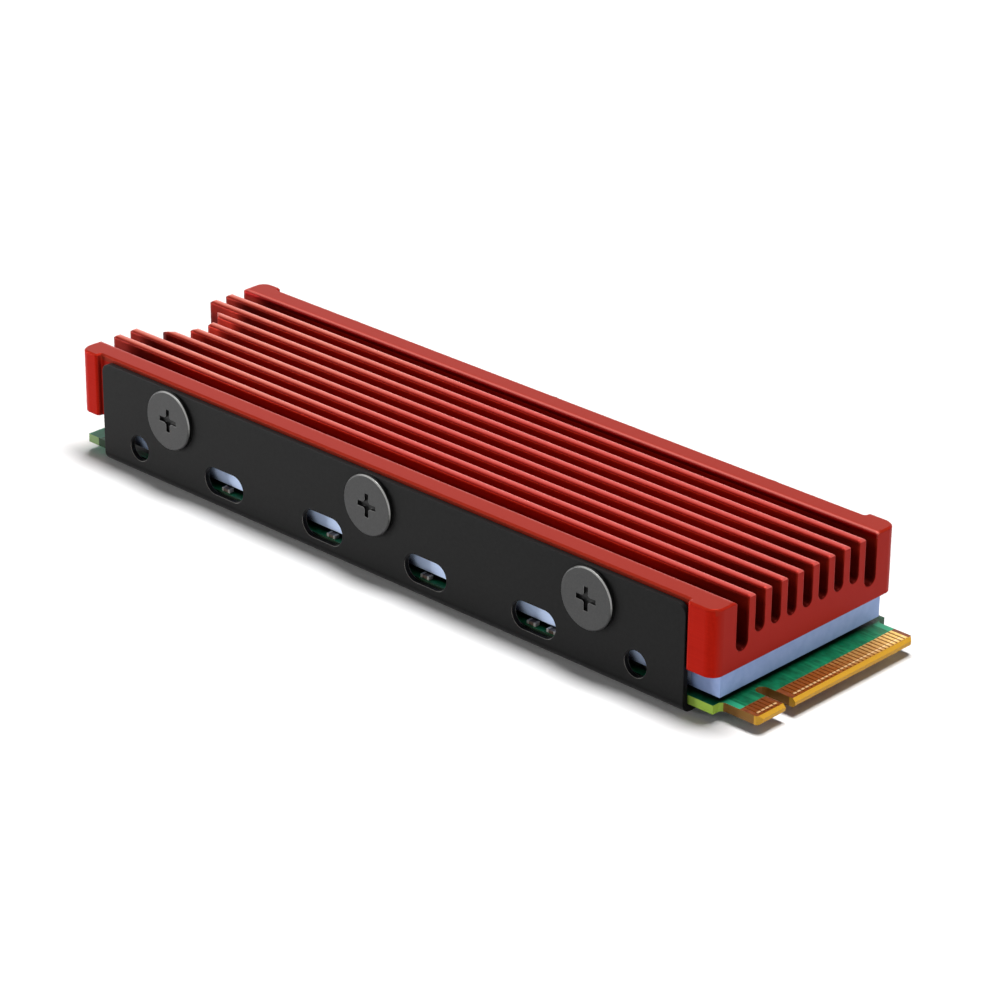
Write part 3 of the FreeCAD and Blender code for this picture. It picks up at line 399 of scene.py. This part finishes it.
# Painted light: upward faces near the top are painted a paler red.
top = node(tree, "ShaderNodeValToRGB", {"Fac": facing.outputs["Z"]},
           stops=((0.6, "000000"), (0.9, "ffffff")))
topmost = node(tree, "ShaderNodeMath", {0: top.outputs["Color"], 1: upper.outputs[0]},
               operation="MULTIPLY")
tops_painted_paler = node(tree, "ShaderNodeMix", {0: topmost.outputs[0], 6: sides.outputs[2],
                                      7: "9a2a1a"}, data_type="RGBA")
drawn = node(tree, "ShaderNodeBevel", {"Radius": FIN_EDGE_MM * MM}, samples=10)
lift = node(tree, "ShaderNodeSeparateXYZ", {0: drawn.outputs["Normal"]})
lean = node(tree, "ShaderNodeMath", {0: lift.outputs["Y"], 1: 0.5, 2: 0.5},
            operation="MULTIPLY_ADD")
# Painted highlight and shade on fin tops: pink where edges lean away, dark where they lean near.
painted_fin_light_middle = node(tree, "ShaderNodeValToRGB", {"Fac": lean.outputs[0]},
                    stops=((0.08, "650505"), (0.16, "8e150b"), (0.24, "a8302a"), (0.34, "b13d35"),
                           (0.45, "be4a44"), (0.58, "ca5a54"), (0.72, "cc6a63"), (0.9, "982e24"),
                           (1.0, "910605")))
painted_fin_light_back = node(tree, "ShaderNodeValToRGB", {"Fac": lean.outputs[0]},
                 stops=((0.04, "4d0505"), (0.12, "710805"), (0.22, "932c1c"), (0.35, "ae4f3f"),
                        (0.5, "ce7768"), (0.65, "de988c"), (0.8, "de988c"), (0.9, "982e24"),
                        (1.0, "910605")))
backward = node(tree, "ShaderNodeMapRange", {0: axes.outputs["X"], 1: PINKER_MM[0],
                                             2: PINKER_MM[1], 3: 0.0, 4: PINKER_SHARE})
painted_fin_light = node(tree, "ShaderNodeMix", {0: backward.outputs[0], 6: painted_fin_light_middle.outputs["Color"],
                                         7: painted_fin_light_back.outputs["Color"]}, data_type="RGBA")
among_fins = node(tree, "ShaderNodeMath", {0: across.outputs[0], 1: FINS_REACH_MM},
                  operation="LESS_THAN")
sideways = node(tree, "ShaderNodeMath", {0: facing.outputs["Y"]}, operation="ABSOLUTE")
not_side = node(tree, "ShaderNodeMath", {0: sideways.outputs[0], 1: SIDE_FACING},
                operation="LESS_THAN")
fin_tops = node(tree, "ShaderNodeMath", {0: among_fins.outputs[0], 1: upper.outputs[0]},
                operation="MULTIPLY")
on_fins = node(tree, "ShaderNodeMath", {0: fin_tops.outputs[0], 1: not_side.outputs[0]},
               operation="MULTIPLY")
finned = node(tree, "ShaderNodeMix", {0: on_fins.outputs[0], 6: tops_painted_paler.outputs[2],
                                      7: painted_fin_light.outputs[2]}, data_type="RGBA")
# Painted highlight and shade on the far wall's inner top edge.
painted_wall_light = node(tree, "ShaderNodeValToRGB", {"Fac": lean.outputs[0]},
                 stops=((0.0, "910605"), (0.1, "780505"), (0.2, "c35f58"), (0.35, "ca685f"),
                        (0.44, "ae372c"), (0.5, "9a2410")))
past_fins = node(tree, "ShaderNodeMath", {0: axes.outputs["Y"], 1: FINS_REACH_MM},
                 operation="GREATER_THAN")
leaning = node(tree, "ShaderNodeMath", {0: lean.outputs[0], 1: 0.5}, operation="LESS_THAN")
wall_side = node(tree, "ShaderNodeMath", {0: past_fins.outputs[0], 1: leaning.outputs[0]},
                 operation="MULTIPLY")
on_wall = node(tree, "ShaderNodeMath", {0: wall_side.outputs[0], 1: upper.outputs[0]},
               operation="MULTIPLY")
walled = node(tree, "ShaderNodeMix", {0: on_wall.outputs[0], 6: finned.outputs[2],
                                      7: painted_wall_light.outputs["Color"]}, data_type="RGBA")
# Painted shade: the walls' outer sides just above the tray are painted duller and darker.
in_recess = node(tree, "ShaderNodeMath", {0: across.outputs[0], 1: RECESS_MM, 2: RECESS_REACH_MM},
                 operation="COMPARE")
recess_top = node(tree, "ShaderNodeMath", {0: in_recess.outputs[0], 1: upper.outputs[0]},
                  operation="MULTIPLY")
above_tray = node(tree, "ShaderNodeMath", {0: recess_top.outputs[0], 1: sideways.outputs[0]},
                  operation="MULTIPLY")
painted_recess_shade = node(tree, "ShaderNodeMix", {0: above_tray.outputs[0], 6: walled.outputs[2],
                                        7: "86281a"}, data_type="RGBA")
# The end faces are duller, partly the milled ends' own dye and partly a painted sheen.
endwise = node(tree, "ShaderNodeMath", {0: facing.outputs["X"]}, operation="ABSOLUTE")
end = node(tree, "ShaderNodeValToRGB", {"Fac": endwise.outputs[0]},
           stops=((0.75, "000000"), (0.98, "ffffff")))
colour = node(tree, "ShaderNodeMix", {0: end.outputs["Color"], 6: painted_recess_shade.outputs[2],
                                      7: "942018"}, data_type="RGBA")
satin = node(tree, "ShaderNodeMapRange", {0: blast.outputs["Fac"], 1: 0.3, 2: 0.7, 3: 0.28,
                                          4: 0.32})
milled = node(tree, "ShaderNodeBevel", {"Radius": OUTER_EDGE_MM * MM}, samples=8)
outside = node(tree, "ShaderNodeMath", {0: across.outputs[0], 1: WALL_TOP_MM},
               operation="GREATER_THAN")
crisp = node(tree, "ShaderNodeMath", {0: outside.outputs[0], 1: end.outputs["Color"]},
             operation="MAXIMUM")
rounded = node(tree, "ShaderNodeMix", {0: crisp.outputs[0], 4: drawn.outputs["Normal"],
                                       5: milled.outputs["Normal"]}, data_type="VECTOR")
grain = node(tree, "ShaderNodeMath", {0: blast.outputs["Fac"], 1: lines.outputs["Fac"]},
             operation="ADD")
relief = node(tree, "ShaderNodeBump", {"Height": grain.outputs[0], "Strength": 0.08,
                                       "Distance": GRAIN_DEPTH_MM * MM, "Normal": rounded.outputs[1]})
shader = node(tree, "ShaderNodeBsdfPrincipled", {
    "Base Color": colour.outputs[2], "Metallic": 0.25, "Roughness": satin.outputs[0],
    "Specular IOR Level": 0.1, "Specular Tint": "ff8876", "Normal": relief.outputs["Normal"]})
node(tree, "ShaderNodeOutputMaterial", {"Surface": shader.outputs["BSDF"]})


# Side screws: wide thin-headed steel screws, cold headed and chemically blackened, driven through
# the tray's flanges into the heat sink's walls. The black oxide is grey on the face. A painted
# highlight runs round the upper rim, and painted shade makes the cross recess and the head's side
# near black.
HEAD_FACE_MM = 11.95
MIDDLE_SCREW_MM = -2.35
SCREW_PITCH_MM = 25.4
SCREW_HEIGHT_MM = 6.9
CROSS_REACH_MM = 1.9
RIM_MM = 0.08
# The rim is bevelled this deep, so outside the cross only what lies deeper gets the painted shade.
RIM_BEVEL_MM = 0.1
GLINT_FACING = (0.6, 0.0, 0.8)
# Tumbling marks are finer than this on the real piece, and are drawn coarser to show.
TUMBLE_MM = 0.15
TUMBLE_DEPTH_MM = 0.005
screws = [f"side_screw_{side}_{spot}" for side in ("near", "far")
          for spot in ("back", "middle", "front")]
tree, _, place = new_finish("blackened_steel", *screws)
axes = node(tree, "ShaderNodeSeparateXYZ", {0: place})
tumble = node(tree, "ShaderNodeTexNoise", {"Vector": place, "Scale": 1 / TUMBLE_MM, "Detail": 2.0})
oxide = node(tree, "ShaderNodeValToRGB", {"Fac": tumble.outputs["Fac"]},
             stops=((0.35, "343434"), (0.7, "3a3a3a")))
out = node(tree, "ShaderNodeMath", {0: axes.outputs["Y"]}, operation="ABSOLUTE")
below_face = node(tree, "ShaderNodeMath", {0: HEAD_FACE_MM, 1: out.outputs[0]},
                  operation="SUBTRACT")
from_middle = node(tree, "ShaderNodeMath", {0: axes.outputs["X"], 1: -MIDDLE_SCREW_MM},
                   operation="ADD")
along = node(tree, "ShaderNodeMath", {0: from_middle.outputs[0], 1: SCREW_PITCH_MM / 2,
                                      2: -SCREW_PITCH_MM / 2}, operation="WRAP")
up = node(tree, "ShaderNodeMath", {0: axes.outputs["Z"], 1: SCREW_HEIGHT_MM}, operation="SUBTRACT")
offset = node(tree, "ShaderNodeCombineXYZ", {"X": along.outputs[0], "Z": up.outputs[0]})
radius = node(tree, "ShaderNodeVectorMath", {0: offset.outputs[0]}, operation="LENGTH")
in_cross = node(tree, "ShaderNodeMath", {0: radius.outputs["Value"], 1: CROSS_REACH_MM},
                operation="LESS_THAN")
depth = node(tree, "ShaderNodeMath", {0: in_cross.outputs[0], 1: RIM_BEVEL_MM,
                                      2: below_face.outputs[0]}, operation="MULTIPLY_ADD")
# Painted shade: the cross recess and the head's side are painted near black.
painted_sunk_shade = node(tree, "ShaderNodeValToRGB", {"Fac": depth.outputs[0]},
            stops=((0.11, "000000"), (0.16, "ffffff")))
rounded = node(tree, "ShaderNodeBevel", {"Radius": RIM_MM * MM}, samples=8)
# Painted highlight: the rim where it faces up and forward is painted bright.
upward = node(tree, "ShaderNodeVectorMath", {0: rounded.outputs["Normal"], 1: GLINT_FACING},
              operation="DOT_PRODUCT")
rim = node(tree, "ShaderNodeValToRGB", {"Fac": upward.outputs["Value"]},
           stops=((0.3, "000000"), (0.55, "ffffff")))
painted_glint = node(tree, "ShaderNodeMix", {0: rim.outputs["Color"], 6: oxide.outputs["Color"],
                                      7: "989896"}, data_type="RGBA")
colour = node(tree, "ShaderNodeMix", {0: painted_sunk_shade.outputs["Color"], 6: painted_glint.outputs[2],
                                      7: "0a0a0a"}, data_type="RGBA")
relief = node(tree, "ShaderNodeBump", {"Height": tumble.outputs["Fac"], "Strength": 0.1,
                                       "Distance": TUMBLE_DEPTH_MM * MM, "Normal": rounded.outputs["Normal"]})
shader = node(tree, "ShaderNodeBsdfPrincipled", {
    "Base Color": colour.outputs[2], "Metallic": 0.35, "Roughness": 0.38,
    "Specular IOR Level": 0.4, "Normal": relief.outputs["Normal"]})
node(tree, "ShaderNodeOutputMaterial", {"Surface": shader.outputs["BSDF"]})


# Studio: a plain white table and four soft boxes: a long one above and a little behind the part, a
# low one at its near left side, a weak low one at its front end, and a low strip behind it.
TABLE_HALF_M = 2.0
TABLE_DROP_MM = 0.02
table_mesh = bpy.data.meshes.new("table")
corners = [(x * TABLE_HALF_M, y * TABLE_HALF_M, 0) for x, y in ((-1, -1), (1, -1), (1, 1), (-1, 1))]
table_mesh.from_pydata(corners, [], [(0, 1, 2, 3)])
table = bpy.data.objects.new("table", table_mesh)
bpy.context.scene.collection.objects.link(table)
table.location.z = -TABLE_DROP_MM * MM
table_paint = bpy.data.materials.new("table_paint")
table_paint.use_nodes = True
table_paint.node_tree.nodes.clear()
shader = node(table_paint.node_tree, "ShaderNodeBsdfPrincipled", {
    "Base Color": "fbfbfb", "Roughness": 0.9, "Specular IOR Level": 0.0})
node(table_paint.node_tree, "ShaderNodeOutputMaterial", {"Surface": shader.outputs["BSDF"]})
table_mesh.materials.append(table_paint)

BACKGROUND_WHITE = 1.0
ROOM_LIGHT = 0.05
world = bpy.data.worlds.new("studio")
bpy.context.scene.world = world
world.use_nodes = True
tree = world.node_tree
tree.nodes.clear()
path = node(tree, "ShaderNodeLightPath")
seen = node(tree, "ShaderNodeBackground", {"Color": "ffffff", "Strength": BACKGROUND_WHITE})
lit = node(tree, "ShaderNodeBackground", {"Color": "ffffff", "Strength": ROOM_LIGHT})
mirrored = node(tree, "ShaderNodeMath", {0: path.outputs["Is Glossy Ray"],
                                         1: path.outputs["Is Transmission Ray"]},
                operation="MAXIMUM")
viewed = node(tree, "ShaderNodeMath", {0: path.outputs["Is Camera Ray"], 1: mirrored.outputs[0]},
              operation="MAXIMUM")
chosen = node(tree, "ShaderNodeMixShader", {0: viewed.outputs[0], 1: lit.outputs[0],
                                            2: seen.outputs[0]})
node(tree, "ShaderNodeOutputWorld", {"Surface": chosen.outputs[0]})

# Each soft box: where it stands, its tilt and heading in degrees, its width and depth, its watts.
# Places and sizes are in metres.
SOFT_BOXES = {
    "overhead": ((0.0, 0.087, 0.60), (-8.3, 0), (0.30, 0.162), 4.3),
    "near_left": ((-0.68, -0.425, 0.045), (86.8, -58), (0.27, 0.07), 5.4),
    "front_right": ((0.50, -0.12, 0.05), (84, 76), (0.30, 0.08), 0.7),
    "low_behind": ((-0.46, 0.52, 0.08), (84, -139), (0.60, 0.09), 0.5),
}
for name, (stand, (tilt, heading), (width, depth), watts) in SOFT_BOXES.items():
    light = bpy.data.lights.new(name, "AREA")
    light.shape = "RECTANGLE"
    light.size = width
    light.size_y = depth
    light.energy = watts
    lamp = bpy.data.objects.new(name, light)
    lamp.location = stand
    lamp.rotation_euler = (math.radians(tilt), 0, math.radians(heading))
    bpy.context.scene.collection.objects.link(lamp)


# Camera: a long lens at the photograph's angle, fitted to the standard sizes of the drive card.
# Angles are in degrees, places in millimetres from the part's origin and the focal length in
# pixels of a frame 1000 high.
AZIMUTH = 43.4207
ELEVATION = 25.0232
ROLL = 0.5277
FOCAL_PIXELS = 3759.468
IMAGE_HEIGHT = 1000
DISTANCE = 330.600
ASIDE = 1.3902
ABOVE = 3.8919
AHEAD = 0.1
camera_data = bpy.data.cameras.new("camera")
camera_data.sensor_fit = "VERTICAL"
camera_data.sensor_height = 36.0
camera_data.lens = FOCAL_PIXELS * camera_data.sensor_height / IMAGE_HEIGHT
camera_data.clip_start = 0.01
camera_data.clip_end = 10.0
camera = bpy.data.objects.new("camera", camera_data)
bpy.context.scene.collection.objects.link(camera)
aim = (Matrix.Rotation(math.radians(AZIMUTH), 4, "Z")
       @ Matrix.Rotation(math.radians(90 - ELEVATION), 4, "X"))
stand = (aim @ Vector((ASIDE, ABOVE, DISTANCE)) + Vector((AHEAD, 0, 0))) * MM
camera.matrix_world = Matrix.Translation(stand) @ aim @ Matrix.Rotation(math.radians(ROLL), 4, "Z")
bpy.context.scene.camera = camera
bpy.context.scene.view_settings.view_transform = "Standard"
